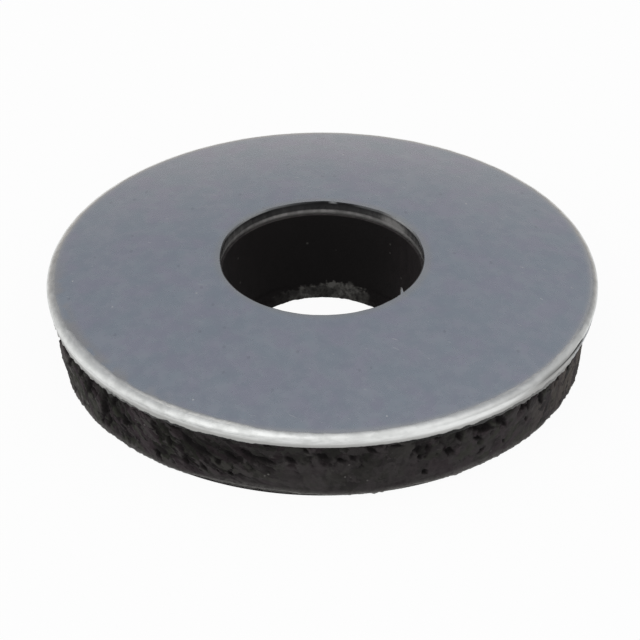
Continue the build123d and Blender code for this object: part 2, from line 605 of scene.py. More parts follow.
HOLE_CREEP = (
    (0, 0.3), (0.056, 0.8), (0.09, 0), (0.2, 0.2), (0.25, 1), (0.28, 0.8), (0.31, 0.2), (0.4, 0),
    (0.5, 0), (0.59, 0), (0.605, 0.6), (0.631, 0.7), (0.635, 1.2), (0.70, 1.3), (0.75, 1.6),
    (0.79, 1.1), (0.83, 0), (0.89, 0), (0.917, 0.8), (0.96, 1), (0.985, 0.6), (1, 0.3),
)
EDGE_WEAR = ((0, 0), (0.3, 0), (0.62, 0), (0.67, 0.2), (0.73, 1), (0.8, 0.8), (0.9, 0), (1, 0))
SLIVER_TURN = 0.63965
SLIVER_WIDTH = 0.0032
print(f"the sliver of burr stands {360 * SLIVER_TURN:.0f} degrees round from the back")

# %% [markdown]
# The rule is a chain of short steps. Each step takes the disc, moves its points a little and
# hands it on to the next. It also gets `at`, which says where a point lies: how far round, how
# far from the axis, how deep below the face and on which band.

# %% The roll of the rim
BEVEL_FULLNESS = 3.2
SHOULDER_FADE = 1.5 * MM
SHOULDER_RIPPLE = 1.6


def bevel_roll(tree, disc, at, given):
    """Here and there the roll starts with a bevel, where its corner sags more."""
    to_edge = (rim_radius - at.away) / RIM_ROLL_WIDTH
    to_edge = to_edge.math("MAXIMUM", 0.0).math("MINIMUM", 1.0)
    drawn = 1.0 - to_edge.math("SQRT")
    bevel = drawn * drawn.math("SQRT") * (1.0 - drawn) * BEVEL_FULLNESS
    bevel = bevel * band_mask(tree, "rim_roll")
    return moved(tree, disc, z=-(bevel * curve(tree, at.turn, ROLL_BEVEL) * given["Roll bevel"]))


def shift_shoulder(tree, disc, at, given):
    """The shoulder of the roll moves in or out along the dome, and the points beside it follow."""
    shoulder = rim_radius - RIM_ROLL_WIDTH
    near = (at.away - (shoulder - SHOULDER_FADE)) / SHOULDER_FADE
    near = near.math("MINIMUM", (rim_radius - at.away) / RIM_ROLL_WIDTH)
    near = near.math("MAXIMUM", 0.0) * at.depth.ramp(0.0, RIM_ROLL_DEPTH, 1.0, 0.0)
    spread = curve(tree, at.turn, ROLL_SPREAD) - 0.5
    ripple = noise(tree, at.position, 0.5 * MM, given["Seed"] + 2, detail=3) - 0.5
    ripple = ripple * curve(tree, at.turn, SHOULDER_WOBBLE)
    inwards = near * (spread + ripple * SHOULDER_RIPPLE) * given["Roll spread"]
    x, y, _ = components(tree, at.position)
    upwards = inwards * math.tan(rim_angle)
    return moved(tree, disc, x / at.away * -inwards, y / at.away * -inwards, upwards)


# %% The hole
CREEP_REACH = 0.8 * MM
CREEP_DEPTH = 0.3 * MM
SLIVER_REACH = 0.12 * MM
SLIVER_ROOT = 0.02 * MM
SLIVER_DEPTH = (0.1 * MM, 0.03 * MM)
SLIVER_RISE = 0.16


def creep_hole(tree, disc, at, given):
    """The punch left the hole a little out of round."""
    beside = (at.away - hole_radius).ramp(CREEP_REACH, 0.0)
    beside = beside * at.depth.ramp(0.0, CREEP_DEPTH, 1.0, 0.0)
    creep = beside * curve(tree, at.turn, HOLE_CREEP) * given["Hole creep"]
    return moved_inwards(tree, disc, at.position, creep)


def lean_sliver(tree, disc, at, given):
    """One sliver of burr, as thin as a hair, leans out over the hole."""
    sliver = stripe(at.turn, SLIVER_TURN, SLIVER_WIDTH)
    sliver = sliver * (at.away - hole_radius).ramp(SLIVER_REACH, SLIVER_ROOT)
    sliver = sliver * at.depth.ramp(*SLIVER_DEPTH)
    disc = keep_as(tree, disc, "sliver", sliver)
    lean = sliver * given["Sliver length"]
    return moved(tree, disc, y=lean, z=lean * SLIVER_RISE)


# %% The wall of the rim
SCORE_WANDER = 0.06 * MM
SCORE_BELOW_FACE = 0.175 * MM
SCORE_WIDTH = 0.25 * MM
WORN_DEPTH = 0.25 * MM
HOLE_RIPPLE = 3.0


def score_wall(tree, disc, at, given):
    """The scored line wanders a little, up and down the wall."""
    wander = noise(tree, at.position, 1.2 * MM, given["Seed"] + 5, detail=3) - 0.5
    line = stripe(at.depth + wander * SCORE_WANDER, SCORE_BELOW_FACE, SCORE_WIDTH)
    scored = line * (at.rolled + at.rim_break) * curve(tree, at.turn, SCORED_QUARTER)
    disc = keep_as(tree, disc, "scored", scored)
    return moved_along_normal(tree, disc, scored * given["Score depth"] * -1.0)


def wear_wall(tree, disc, at, given):
    """The wall is worn down at the right, rippled along the roll and gritty on the break."""
    worn = at.depth.ramp(0.0, WORN_DEPTH) * (at.rolled + at.rim_break)
    worn = worn * curve(tree, at.turn, EDGE_WEAR)
    disc = moved_along_normal(tree, disc, worn * given["Edge wear"] * -1.0)

    hole_wall = band_mask(tree, "hole_roll") + band_mask(tree, "hole_land")
    ripple = noise(tree, at.position, 0.45 * MM, given["Seed"], detail=4) - 0.5
    ripple = ripple * given["Edge ripple"] * (at.rolled + hole_wall * HOLE_RIPPLE)
    disc = moved_along_normal(tree, disc, ripple)

    torn = at.rim_break + band_mask(tree, "hole_break")
    grit = noise(tree, at.position, 0.07 * MM, given["Seed"] + 3, detail=4) - 0.5
    return moved_along_normal(tree, disc, grit * given["Break roughness"] * torn)


# %% The foot of the break
FOOT_HEIGHT = 0.1 * MM
RAGS_HANG = 3.0


def hang_foot(tree, disc, at, given):
    """The foot of the break hangs down in rags, and the burr stands out from it."""
    foot = at.depth.ramp(SHEET_THICKNESS - FOOT_HEIGHT, SHEET_THICKNESS) * at.rim_break
    upright = stretch(tree, at.position, (1, 1, 0.2))
    rags = noise(tree, upright, 0.2 * MM, given["Seed"] + 7, detail=3) - 0.45
    burr = rags * given["Burr height"] * foot * curve(tree, at.turn, RAGGED_FOOT)
    disc = moved_along_normal(tree, disc, burr.math("ABSOLUTE"))
    sinking = foot * curve(tree, at.turn, FOOT_DROOP) * given["Foot droop"]
    return moved(tree, disc, z=-(burr * RAGS_HANG + sinking))


# %% Rule for the steel disc
STEEL_STEPS = (
    bevel_roll, shift_shoulder, creep_hole, lean_sliver, score_wall, wear_wall, hang_foot,
)


def steel_rule():
    """The wear on the swept disc, as a tree of Geometry Nodes."""
    tree, section, given = new_rule("stamped steel", {
        "Steps round": 1,
        "Sweep radius": 1.0,
        "Seed": 1.0,
        "Roll spread": 1.0,
        "Roll bevel": 1.0,
        "Score depth": 1.0,
        "Edge wear": 1.0,
        "Edge ripple": 1.0,
        "Break roughness": 1.0,
        "Burr height": 1.0,
        "Foot droop": 1.0,
        "Hole creep": 1.0,
        "Sliver length": 1.0,
        "Material": steel_finish,
    })
    disc = swept(tree, section, given["Sweep radius"], given["Steps round"])
    position = add_node(tree, "GeometryNodeInputPosition")
    at = SimpleNamespace(
        position=position,
        turn=turn_about_axis(tree, position),
        away=distance_from_axis(tree, position),
        depth=depth_in_steel(tree, position),
        rolled=band_mask(tree, "rim_roll") + band_mask(tree, "rim_land"),
        rim_break=band_mask(tree, "rim_break"),
    )
    for step in STEEL_STEPS:
        disc = step(tree, disc, at, given)
    disc = drift(tree, disc, position)
    finish_rule(tree, disc, given["Material"])
    return tree


print(f"{len(STEEL_STEPS)} steps of wear on the steel")

# %% [markdown]
# ## The finish of the steel
#
# Zinc plating on steel is a metal with a soft, slightly blue shine: a Principled shader with
# Metallic at 1 and a middling roughness. Handling leaves cloudy patches in it, so the colour
# and the roughness both drift a little. The sheared edge has no plating and is paler. Some of
# the rim's and the hole's brightness is painted into the colour as painted highlights, and the
# hole's land is painted dark as a painted reflection of the black bore.
#
# An image could be painted for all of this, but it would have to be unwrapped first, and it
# would go soft close up. Here each mark is a mask, from 0 to 1, which blends one more colour
# over the last. A mask is a noise in the piece's own coordinates, a distance from the axis or
# the face, or an attribute that the rule above left on the points, such as `scored`.


# %% Parts of a finish
def new_finish(name):
    """A material with a Principled shader. Returns its tree, the shader and object coordinates."""
    material = bpy.data.materials.new(name)
    material.use_nodes = True
    tree = material.node_tree
    shader = tree.nodes["Principled BSDF"]
    coordinates = add_node(tree, "ShaderNodeTexCoord", output=3)
    return material, tree, shader, coordinates


def blend_colours(tree, amount, low, high):
    """A mix of two colours, each a colour or a Field."""
    node = tree.nodes.new("ShaderNodeMix")
    node.data_type = "RGBA"
    plug(tree, node.inputs["Factor"], amount)
    colour_in = [socket for socket in node.inputs if socket.type == "RGBA"]
    plug(tree, colour_in[0], low)
    plug(tree, colour_in[1], high)
    colour_out = [socket for socket in node.outputs if socket.type == "RGBA"]
    return Field(tree, colour_out[0])


def bands_in_finish(tree, *names):
    """The sum of the section's bands, as a material sees them."""
    total = None
    for name in names:
        band = add_node(tree, "ShaderNodeAttribute", output=2, attribute_name=name)
        total = band if total is None else total + band
    return total


def bump(tree, height, distance):
    """A normal bent by a height field. The distance is the height of 1, in metres."""
    settings = {"Height": height, "Distance": distance, "Strength": 1.0}
    return add_node(tree, "ShaderNodeBump", settings)


def print_size(material):
    """Says how large a finish has grown."""
    print(f"{material.name}: {len(material.node_tree.nodes)} nodes")


# %% The steel's face
PLATED_DARK = (0.567, 0.615, 0.694, 1)
PLATED_PALE = (0.627, 0.670, 0.739, 1)
PLATED_VIOLET = (0.620, 0.614, 0.724, 1)
PLATED_TEAL = (0.560, 0.638, 0.702, 1)
PLATED_HIGHLIGHT = (0.72, 0.74, 0.76, 1)
PLATED_WARM = (0.66, 0.65, 0.62, 1)
SCUFFED = (0.97, 0.97, 0.95, 1)
PLATED_NEUTRAL = (0.64, 0.65, 0.63, 1)
PITTED = (0.40, 0.42, 0.48, 1)

steel_finish, tree, shader, place = new_finish("zinc plated steel")
away = distance_from_axis(tree, place)
depth = depth_in_steel(tree, place)
turn = turn_about_axis(tree, place)
rim_edge = bands_in_finish(tree, "rim_roll", "rim_land", "rim_break")
torn = bands_in_finish(tree, "rim_break", "hole_break")
hole_land = bands_in_finish(tree, "hole_land", "hole_roll")
hole_break = bands_in_finish(tree, "hole_break")
right_quarter = curve(tree, turn, SCORED_QUARTER)

# Small cloudy patches, which lean to violet or to teal
cloudy = noise(tree, place, 0.4 * MM, 4, detail=4, roughness=0.6)
drifting = noise(tree, place, 1.1 * MM, 8, detail=3)
clouds = (cloudy * 0.6 + drifting * 0.4).ramp(0.35, 0.65)
colour = blend_colours(tree, clouds, PLATED_DARK, PLATED_PALE)
tinted = noise(tree, place, 0.8 * MM, 15, detail=3)
colour = blend_colours(tree, tinted.ramp(0.50, 0.62) * 0.5, colour, PLATED_VIOLET)
colour = blend_colours(tree, tinted.ramp(0.50, 0.38) * 0.5, colour, PLATED_TEAL)

# A few pale specks and short scratches, and a few dark pits
specks = scattered(tree, place, 0.6 * MM, 0.07 * MM, 0.015, "2D")
scratched = scratches(tree, place, 0.5, 0.6 * MM, 0.035 * MM)
scuffs = specks + scratched * drifting.ramp(0.50, 0.58)
colour = blend_colours(tree, scuffs * 0.6, colour, SCUFFED)
narrowed = stretch(tree, place, (1.3, 1.0, 1.0))
pits = scattered(tree, narrowed, 0.45 * MM, 0.16 * MM, 0.04, "2D")
colour = blend_colours(tree, pits * 0.35, colour, PITTED)

# The plating is greyer beside the hole and warmer in places inside the rim. A paler fringe just
# inside the rim is a painted highlight
near_hole = away.ramp(hole_radius + 0.3 * MM, hole_radius + 0.05 * MM)
colour = blend_colours(tree, near_hole * 0.55, colour, PLATED_NEUTRAL)
highlight_fringe = away.ramp(rim_radius - 0.42 * MM, rim_radius - 0.22 * MM)
colour = blend_colours(tree, highlight_fringe * 0.8, colour, PLATED_HIGHLIGHT)
warm = away.ramp(rim_radius - 0.7 * MM, rim_radius - 0.35 * MM) * tinted.ramp(0.40, 0.55)
colour = blend_colours(tree, warm * stripe(turn, 0.32, 0.22) * 0.7, colour, PLATED_WARM)
print_size(steel_finish)

# %% The steel's rim
BARE_DULL = (0.56, 0.57, 0.56, 1)
BARE_BRIGHT = (0.71, 0.72, 0.71, 1)
BARE_HIGHLIGHT = (0.93, 0.94, 0.93, 1)
BREAK_GREY = (0.43, 0.43, 0.42, 1)
SPARKLE = (0.93, 0.92, 0.88, 1)
BACK_HIGHLIGHT = (0.98, 0.98, 0.96, 1)
SCORED = (0.24, 0.24, 0.235, 1)
RUBBER_SMEAR = (0.02, 0.02, 0.02, 1)
# Where the bare steel is painted paler round the way, as a painted highlight
RIM_HIGHLIGHT_ROUND = (
    (0, 0.3), (0.2, 0.3), (0.25, 0.1), (0.3, 0.1), (0.333, 0.35), (0.38, 0.1), (0.417, 0),
    (0.46, 0.1), (0.5, 0.15), (0.55, 0.4), (0.583, 0.6), (0.61, 0.45), (0.64, 0.35), (0.667, 0.4),
    (0.69, 0.2), (0.708, 0.1), (0.75, 0.1), (1, 0.3),
)
# Where the shoulder carries a painted highlight round the way
SHOULDER_GLINT = (
    (0, 0.3), (0.25, 0.4), (0.333, 0.5), (0.38, 0.8), (0.42, 1), (0.46, 0.5), (0.5, 0.1),
    (0.55, 0.3), (0.6, 0.7), (0.667, 1), (0.7, 0.6), (1, 0.3),
)

# Patches of bare steel, over a dull break. In parts of the way round the bare steel is painted
# paler, a painted highlight
patches = noise(tree, along_rim(tree, turn, depth, 3), 0.12 * MM, 9, detail=3, roughness=0.55)
bright = patches.ramp(0.36, 0.62) - right_quarter * 0.4
bare = blend_colours(tree, bright, BARE_DULL, BARE_BRIGHT)
pale = curve(tree, turn, RIM_HIGHLIGHT_ROUND)
bare = blend_colours(tree, pale, bare, BARE_HIGHLIGHT)
lowered = (pale - right_quarter * 1.4) * (0.09 * MM)
broken = (depth - lowered).ramp(0.12 * MM, 0.36 * MM)
bare = blend_colours(tree, broken, bare, BREAK_GREY)
colour = blend_colours(tree, rim_edge, colour, bare)

# Painted highlights: the shoulder of the roll glints in dashes, and the back of the rim has a pale
# fringe
dashes = noise(tree, along_rim(tree, turn, away, 3), 0.06 * MM, 12, detail=1).ramp(0.38, 0.60)
shaken = away + (patches - 0.5) * (0.05 * MM)
shoulder = stripe(shaken, rim_radius - RIM_ROLL_WIDTH, 0.1 * MM)
glint = shoulder * (dashes * 0.7 + 0.3) * curve(tree, turn, SHOULDER_GLINT)
colour = blend_colours(tree, glint * 0.8, colour, SPARKLE)
at_back = turn.ramp(0.25, 0.08) + turn.ramp(0.75, 0.92)
highlight_fringe = at_back * away.ramp(rim_radius - 0.3 * MM, rim_radius)
colour = blend_colours(tree, highlight_fringe, colour, BACK_HIGHLIGHT)

# The scored line is dull, and rubber is smeared over the foot of the break
colour = blend_colours(tree, bands_in_finish(tree, "scored"), colour, SCORED)
smear = noise(tree, stretch(tree, place, (1, 1, 0.3)), 0.3 * MM, 16, detail=4) - 0.5
smear = smear * curve(tree, turn, RAGGED_FOOT) * (0.35 * MM)
smear = (depth + smear).ramp(0.40 * MM, 0.43 * MM) * stripe(turn, 0.5, 0.44)
smear = smear * bands_in_finish(tree, "rim_break")
colour = blend_colours(tree, smear, colour, RUBBER_SMEAR)
print_size(steel_finish)

# %% The steel's hole
HOLE_LAND_DARK_REFLECTION = (0.008, 0.008, 0.009, 1)
HOLE_SHEEN = (0.24, 0.235, 0.23, 1)
HOLE_BREAK = (0.32, 0.31, 0.305, 1)
HOLE_FOOT = (0.12, 0.12, 0.115, 1)
# How strongly the land's painted sheen shows round the way
HOLE_SHINE = (
    (0, 0.05), (0.07, 0.08), (0.125, 0.15), (0.18, 0.35), (0.25, 0.35), (0.75, 0.3), (0.82, 0.25),
    (0.85, 0.5), (0.872, 1), (0.90, 0.4), (0.93, 0.08), (1, 0.05),
)
HOLE_LINE = (
    (0, 1), (0.068, 0.95), (0.125, 0.65), (0.174, 0.6), (0.25, 0.5), (0.75, 0.5), (0.826, 0.65),
    (0.86, 0.9), (0.885, 0.9), (0.93, 0.75), (1, 1),
)
# Where the hole's roll carries a painted highlight
HOLE_GLINT = (
    (0, 0), (0.04, 0.1), (0.068, 0.25), (0.09, 0.4), (0.125, 0.7), (0.15, 0.5), (0.174, 0.35),
    (0.2, 0.1), (0.25, 0), (0.75, 0), (0.8, 0.3), (0.826, 0.5), (0.845, 0.7), (0.872, 0.6),
    (0.9, 0.2), (0.932, 0.2), (0.96, 0), (0.975, 0), (0.985, 0.5), (0.992, 0), (1, 0),
)

# The land is painted dark, a painted reflection of the black bore, with a painted sheen over it in
# places.
# Below it runs a line of break that is paler rough metal and partly a painted highlight.
# Both are too dull to count as bare metal
inner_wall = hole_land + hole_break
drawn_down = stretch(tree, place, (1, 1, 0.3))
streaked = noise(tree, drawn_down, 0.15 * MM, 3, detail=4).ramp(0.35, 0.65)
shine = curve(tree, turn, HOLE_SHINE) * (streaked * 0.5 + 0.7)
shine = shine * depth.ramp(0.04 * MM, 0.2 * MM, 0.35, 1.4)
land = blend_colours(tree, shine, HOLE_LAND_DARK_REFLECTION, HOLE_SHEEN)
# The pale line is paler rough break, partly a painted highlight
line = depth.ramp(0.24 * MM, 0.31 * MM) * (streaked * 0.4 + 0.7) * curve(tree, turn, HOLE_LINE)
wall = blend_colours(tree, line, land, HOLE_BREAK)
wall = blend_colours(tree, depth.ramp(0.34 * MM, 0.41 * MM), wall, HOLE_FOOT)
colour = blend_colours(tree, inner_wall, colour, wall)
# Painted highlights on the roll of the hole
glint = bands_in_finish(tree, "hole_roll") * curve(tree, turn, HOLE_GLINT)
colour = blend_colours(tree, glint * 0.5, colour, PLATED_HIGHLIGHT)
# The sliver of burr is painted pale, a painted highlight
sliver = bands_in_finish(tree, "sliver") * inner_wall * 0.7
colour = blend_colours(tree, sliver, colour, HOLE_SHEEN)
print_size(steel_finish)

# %% Wire the steel's shader
plug(tree, shader.inputs["Base Color"], colour)
plug(tree, shader.inputs["Metallic"], 1.0 - inner_wall * 0.9)
shader.inputs["Specular IOR Level"].default_value = 0.1
roughness = cloudy.ramp(0.3, 0.7, 0.24, 0.30) + torn * 0.25
roughness = roughness + rim_edge * 0.06 + scuffs * 0.15
plug(tree, shader.inputs["Roughness"], roughness)
grain = noise(tree, place, 0.06 * MM, 2, detail=3)
hammered = noise(tree, place, 0.1 * MM, 5, detail=3)
unevenness = grain * 0.25 + hammered * rim_edge * 0.4
plug(tree, shader.inputs["Normal"], bump(tree, unevenness, 0.006 * MM))
print_size(steel_finish)

# %% Make the steel disc
metal_washer = apply_rule(steel_section, steel_rule(), {
    "Steps round": 1024,
    "Sweep radius": (rim_radius + hole_radius) / 2,
    "Seed": 11.0,
    "Roll spread": 0.2 * MM,
    "Roll bevel": 0.065 * MM,
    "Score depth": 0.005 * MM,
    "Hole creep": 0.035 * MM,
    "Sliver length": 0.27 * MM,
    "Edge wear": 0.06 * MM,
    "Edge ripple": 0.008 * MM,
    "Break roughness": 0.015 * MM,
    "Burr height": 0.09 * MM,
    "Foot droop": 0.11 * MM,
    "Material": steel_finish,
})

# %% [markdown]
# ## The rubber's section
#
# The rubber is bonded to the underside of the steel and lies flat on the roof. Its skirt
# carries on the slope of the punched rim. In the hole it ends in a lip that the punch drags
# down and inwards as it breaks through.

# %% Section of the rubber ring
QUARTER = math.pi / 2

skirt_tilt = math.tan(rim_foot_angle)
heel_x = -dome_centre * skirt_tilt
heel_centre = (
    heel_x - HEEL_ROUND * (1 - math.sin(rim_foot_angle)) / math.cos(rim_foot_angle),
    HEEL_ROUND,
)
skirt_foot = (
    heel_centre[0] + HEEL_ROUND * math.cos(rim_foot_angle),
    heel_centre[1] - HEEL_ROUND * math.sin(rim_foot_angle),
)
throat_radius = THROAT_DIAMETER / 2
lip_top = (
    (THROAT_HEIGHT + LIP_HEIGHT - dome_centre) * math.tan(bore_angle),
    THROAT_HEIGHT + LIP_HEIGHT,
)
bore_top = on_dome(underside_radius, bore_angle)
rim_foot = on_dome(underside_radius, rim_foot_angle)

rubber_section = section_object("rubber_seal_detail", {
    "bond": dome_arc(underside_radius, bore_angle, rim_foot_angle, 5),
    "skirt": straight(rim_foot, skirt_foot, 48, evenly),
    "heel": rounding(heel_centre, HEEL_ROUND, QUARTER + rim_foot_angle, math.pi, 6),
    "seat": straight((heel_centre[0], 0), (throat_radius, 0), 5),
    "throat": straight((throat_radius, 0), (throat_radius, THROAT_HEIGHT), 5),
    "lip": straight((throat_radius, THROAT_HEIGHT), lip_top, 10, evenly),
    "bore": straight(lip_top, bore_top, 14),
})

# %% [markdown]
# ## Torn rubber
#
# Rubber doesn't shear like steel. It stretches ahead of the die and then tears, deepest just
# under the steel, where it is held. The larger tears are placed one by one, as a sculptor would
# place them: each is a point of a small mesh, which carries half the tear's length as a vector
# and half its width as a number. A Repeat Zone in the tree goes through the points, and a
# vertex of the skirt keeps the deepest of the pits that it finds itself in. A noise drawn out
# along the way the rubber tore makes the pits ragged and adds the small ones between them.
#
# Sculpting would do as well, but a sculpted mesh can't be made again at another size, and a
# displacement image would have to be painted first. A list of tears is short, and any one of
# them can be moved by changing its numbers.

# %% The larger tears
# Where each tear starts, where it ends and how wide it is in millimetres. A place is how far
# round the washer (0.25 at -X, 0.5 at -Y, 0.75 at +X) and how far down the skirt (0 to 1).
TEARS = (
    ((0.014, 0.10), (0.022, 0.42), 0.28), ((0.058, 0.15), (0.061, 0.55), 0.24),
    ((0.095, 0.08), (0.104, 0.36), 0.32), ((0.137, 0.30), (0.139, 0.62), 0.22),
    ((0.172, 0.12), (0.180, 0.44), 0.30), ((0.214, 0.20), (0.216, 0.66), 0.26),
    ((0.252, 0.10), (0.258, 0.40), 0.30), ((0.290, 0.28), (0.293, 0.60), 0.24),
    ((0.3220, 0.02), (0.302, 0.50), 0.26), ((0.3330, 0.00), (0.325, 0.34), 0.18),
    ((0.3440, 0.04), (0.3320, 0.54), 0.32), ((0.3590, 0.00), (0.3460, 0.90), 0.34),
    ((0.360, 0.45), (0.3525, 0.82), 0.22), ((0.368, 0.04), (0.3600, 0.34), 0.20),
    ((0.3120, 0.72), (0.303, 0.92), 0.14), ((0.3820, 0.36), (0.3700, 0.52), 0.16),
    ((0.3700, 0.33), (0.3735, 0.52), 0.20), ((0.3955, 0.12), (0.398, 0.22), 0.22),
    ((0.3945, 0.66), (0.3970, 0.85), 0.22), ((0.4045, 0.03), (0.414, 0.14), 0.18),
    ((0.4065, 0.28), (0.407, 0.54), 0.18), ((0.4165, 0.17), (0.4235, 0.36), 0.34),
    ((0.416, 0.58), (0.4175, 0.78), 0.24), ((0.4215, 0.28), (0.4345, 0.46), 0.30),
    ((0.4265, 0.61), (0.4305, 0.81), 0.24), ((0.4365, 0.48), (0.4405, 0.58), 0.20),
    ((0.4415, 0.24), (0.4515, 0.44), 0.26), ((0.4435, 0.66), (0.447, 0.76), 0.20),
    ((0.4535, 0.18), (0.461, 0.34), 0.22), ((0.4590, 0.29), (0.4750, 0.39), 0.20),
    ((0.465, 0.02), (0.4715, 0.07), 0.12), ((0.4790, 0.24), (0.4865, 0.34), 0.18),
    ((0.489, 0.03), (0.494, 0.14), 0.15), ((0.4970, 0.15), (0.5045, 0.25), 0.20),
    ((0.508, 0.24), (0.5145, 0.31), 0.14), ((0.5155, 0.17), (0.5205, 0.30), 0.18),
    ((0.525, 0.05), (0.534, 0.18), 0.18), ((0.5385, 0.05), (0.5475, 0.10), 0.15),
    ((0.5550, 0.11), (0.5575, 0.35), 0.28), ((0.557, 0.36), (0.5595, 0.45), 0.14),
    ((0.5625, 0.16), (0.563, 0.35), 0.12), ((0.5605, 0.65), (0.565, 0.80), 0.20),
    ((0.564, 0.05), (0.5705, 0.13), 0.14), ((0.5730, 0.38), (0.5815, 0.50), 0.22),
    ((0.5815, 0.08), (0.5845, 0.32), 0.20), ((0.5890, 0.11), (0.6110, 0.32), 0.34),
    ((0.6080, 0.00), (0.6180, 0.40), 0.28), ((0.6175, 0.64), (0.6195, 0.74), 0.12),
    ((0.5920, 0.30), (0.6000, 0.44), 0.16), ((0.604, 0.60), (0.5980, 0.72), 0.14),
    ((0.6275, 0.08), (0.6320, 0.27), 0.26), ((0.6335, 0.05), (0.6365, 0.35), 0.16),
    ((0.6355, 0.44), (0.6375, 0.56), 0.12), ((0.6435, 0.08), (0.6520, 0.46), 0.26),
    ((0.662, 0.06), (0.671, 0.30), 0.16), ((0.6780, 0.10), (0.6870, 0.38), 0.22),
    ((0.727, 0.14), (0.730, 0.48), 0.26), ((0.771, 0.10), (0.780, 0.36), 0.30),
    ((0.815, 0.22), (0.818, 0.60), 0.22), ((0.856, 0.10), (0.866, 0.40), 0.32),
    ((0.899, 0.18), (0.902, 0.58), 0.24), ((0.942, 0.12), (0.951, 0.40), 0.30),
    ((0.980, 0.25), (0.982, 0.60), 0.22),
)


# %% The tears as points of a mesh
def rolled_out(place):
    """A place on the skirt, rolled out flat: metres round it and metres down it."""
    return Vector((place[0] * 2 * math.pi * rim_radius, place[1] * RUBBER_DEPTH, 0))


def tear_points(tears):
    """A mesh with a point in the middle of each tear, which carries its half length and width."""
    ends = [(rolled_out(start), rolled_out(end)) for start, end, _ in tears]
    mesh = bpy.data.meshes.new("tears")
    mesh.from_pydata([(start + end) / 2 for start, end in ends], [], [])
    along = mesh.attributes.new("along", "FLOAT_VECTOR", "POINT")
    along.data.foreach_set("vector", [value for start, end in ends for value in (end - start) / 2])
    side = mesh.attributes.new("side", "FLOAT", "POINT")
    side.data.foreach_set("value", [width / 2 * MM for _, _, width in tears])
    points = bpy.data.objects.new("tears", mesh)
    bpy.context.scene.collection.objects.link(points)
    return points


# %% The deepest tear
def read_point(tree, points, index, value, data_type):
    """A value of one point of a mesh."""
    inputs = {"Geometry": points, "Value": value, "Index": index}
    return add_node(tree, "GeometryNodeSampleIndex", inputs, data_type=data_type)


FAR_FROM_TEARS = -0.4


def deepest_tear(tree, tears, flat):
    """How deep in a tear a place on the rolled out skirt lies: 0 at its edge, 1 in its middle
    and less than 0 outside it."""
    source = tree.nodes.new("GeometryNodeObjectInfo")
    plug(tree, source.inputs["Object"], tears)
    points = Field(tree, source.outputs["Geometry"])
    counter = "GeometryNodeAttributeDomainSize"
    count = add_node(tree, counter, {"Geometry": points}, component="MESH")
    first = tree.nodes.new("GeometryNodeRepeatInput")
    last = tree.nodes.new("GeometryNodeRepeatOutput")
    first.pair_with_output(last)
    last.repeat_items.clear()
    last.repeat_items.new("FLOAT", "Deepest")
    plug(tree, first.inputs["Iterations"], count)
    plug(tree, first.inputs["Deepest"], FAR_FROM_TEARS)
    index = Field(tree, first.outputs["Iteration"])
    place = add_node(tree, "GeometryNodeInputPosition")
    middle = read_point(tree, points, index, place, "FLOAT_VECTOR")
    attribute = "GeometryNodeInputNamedAttribute"
    named = add_node(tree, attribute, {"Name": "along"}, data_type="FLOAT_VECTOR")
    along = read_point(tree, points, index, named, "FLOAT_VECTOR")
    side = read_point(tree, points, index, band_mask(tree, "side"), "FLOAT")

    arm = vector_sum(tree, "SUBTRACT", flat, middle)
    share = vector_sum(tree, "DOT_PRODUCT", arm, along, 1)
    share = share / vector_sum(tree, "DOT_PRODUCT", along, along, 1)
    foot = add_node(tree, "ShaderNodeVectorMath", {0: along, "Scale": share}, operation="SCALE")
    across = vector_sum(tree, "DISTANCE", arm, foot, 1) / side
    inside = 1.0 - share.math("ABSOLUTE") - across
    deepest = inside.math("MAXIMUM", Field(tree, first.outputs["Deepest"]))
    tree.links.new(deepest.socket, last.inputs["Deepest"])
    return Field(tree, last.outputs["Deepest"])


# %% Where the rubber is torn
TEAR_REACH = (
    (0, 0.5), (0.12, 0.4), (0.25, 0.4), (0.30, 0.2), (0.31, 0.4), (0.32, 0.2), (0.334, 0.45),
    (0.345, 0.2), (0.351, 0.8), (0.358, 0.75), (0.364, 0.3), (0.372, 0.45), (0.38, 0.1),
    (0.39, 0.1), (0.397, 0.4), (0.41, 0.45), (0.425, 0.6), (0.44, 0.6), (0.455, 0.45),
    (0.475, 0.42), (0.486, 0.36), (0.492, 0.2), (0.50, 0.28), (0.51, 0.34), (0.53, 0.32),
    (0.537, 0.1), (0.551, 0.08), (0.556, 0.4), (0.562, 0.4), (0.568, 0.1), (0.574, 0.5),
    (0.581, 0.5), (0.587, 0.1), (0.595, 0.35), (0.615, 0.38), (0.622, 0.1), (0.632, 0.32),
    (0.642, 0.15), (0.65, 0.4), (0.657, 0.15), (0.667, 0.3), (0.675, 0.1), (0.684, 0.35),
    (0.70, 0.1), (0.76, 0.3), (0.85, 0.5), (1, 0.5),
)
TEAR_SLANT = (
    (0, 0.5), (0.2, 0.55), (0.3, 0.62), (0.36, 0.7), (0.40, 0.85), (0.46, 0.9), (0.485, 0.6),
    (0.56, 0.5), (0.7, 0.42), (1, 0.5),
)
TOP_UNDERCUT = (
    (0, 0.1), (0.2, 0.3), (0.27, 0.3), (0.32, 0.1), (0.5, 0.05), (0.6, 0.1), (0.66, 0.4),
    (0.69, 1), (0.76, 1), (0.8, 0.8), (1, 0.1),
)
LEFT_NOTCH = ((0, 0), (0.22, 0), (0.24, 1), (0.305, 1), (0.315, 0), (1, 0))
HEEL_WEAR = (
    (0, 0.3), (0.24, 0.3), (0.285, 0.35), (0.3, 0.15), (0.34, 0.1), (0.36, 0.28), (0.39, 0.33),
    (0.41, 0.4), (0.425, 0.8), (0.437, 0.85), (0.45, 1.1), (0.475, 0.98), (0.495, 0.62),
    (0.53, 0.4), (0.556, 0.6), (0.572, 0.4), (0.585, 0.4), (0.605, 0.45), (0.63, 0.34),
    (0.672, 0.28), (0.69, 0.1), (0.76, 0.1), (1, 0.3),
)
